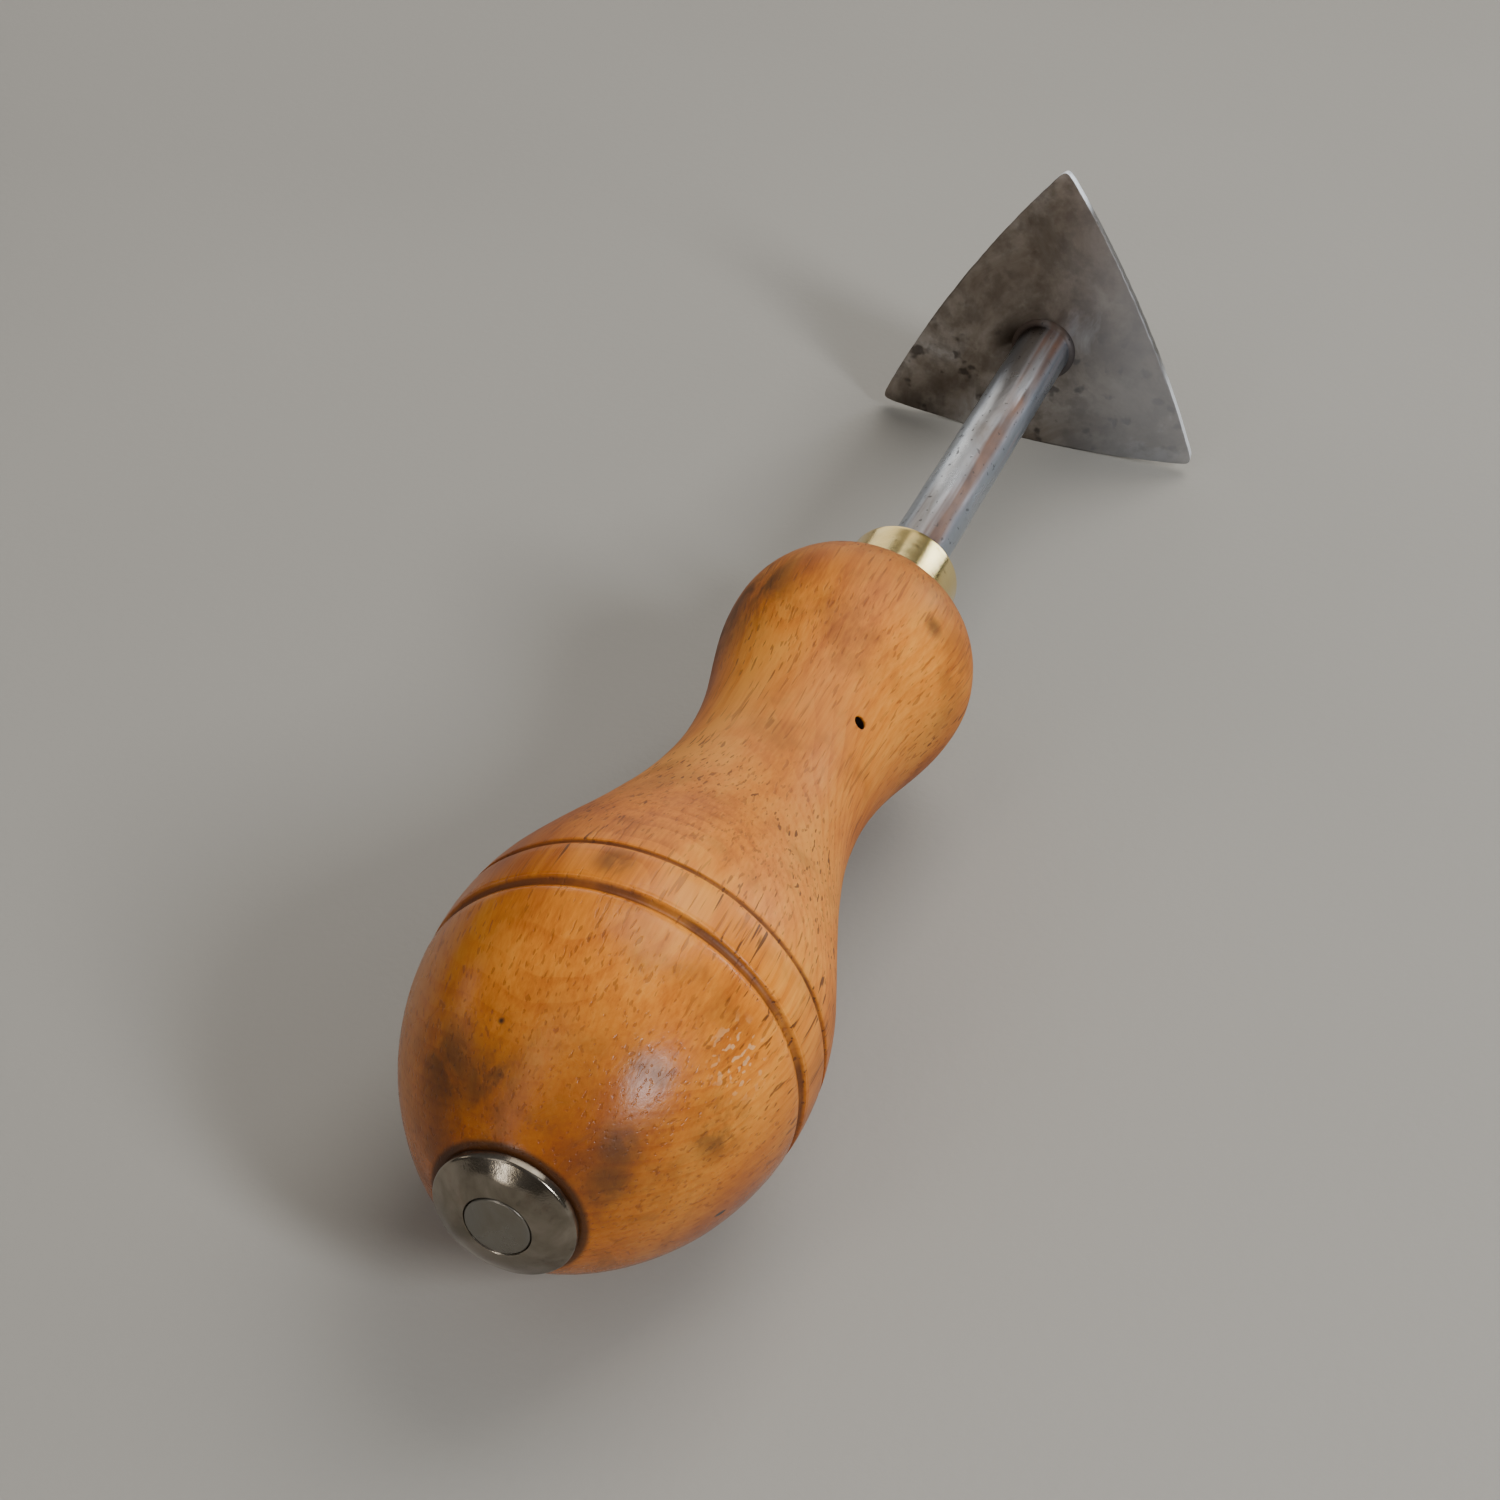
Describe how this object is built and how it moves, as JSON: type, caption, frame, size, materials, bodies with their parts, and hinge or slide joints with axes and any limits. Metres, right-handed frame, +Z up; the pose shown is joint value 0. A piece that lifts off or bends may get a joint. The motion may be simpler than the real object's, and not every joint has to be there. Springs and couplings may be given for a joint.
{
  "type": "triangular scraper",
  "caption": "Hand scraper with a flat triangular steel blade square on a round shank, a brass ferrule and a turned pear-shaped wooden handle.",
  "frame": {"origin": "on the bench, under the middle of the tool as it lies with its belly and the blade's lower edge on the bench", "axes": "+X along the bench from the butt to the blade, +Y to the left of the blade seen from the butt, +Z up"},
  "size_m": [0.196, 0.0488, 0.044],
  "materials": {
    "handle_wood": "oiled and worn, satin",
    "ferrule_brass": "polished",
    "shank_steel": "bright with rust-brown streaks",
    "blade_steel": "dark brown-grey patina",
    "washer_steel": "polished",
    "pin_steel": "plain"
  },
  "bodies": {
    "root": {"handle": "handle_wood", "ferrule": "ferrule_brass", "shank": "shank_steel", "blade": "blade_steel", "butt_washer": "washer_steel", "cross_pin": "pin_steel"}
  },
  "joints": []
}
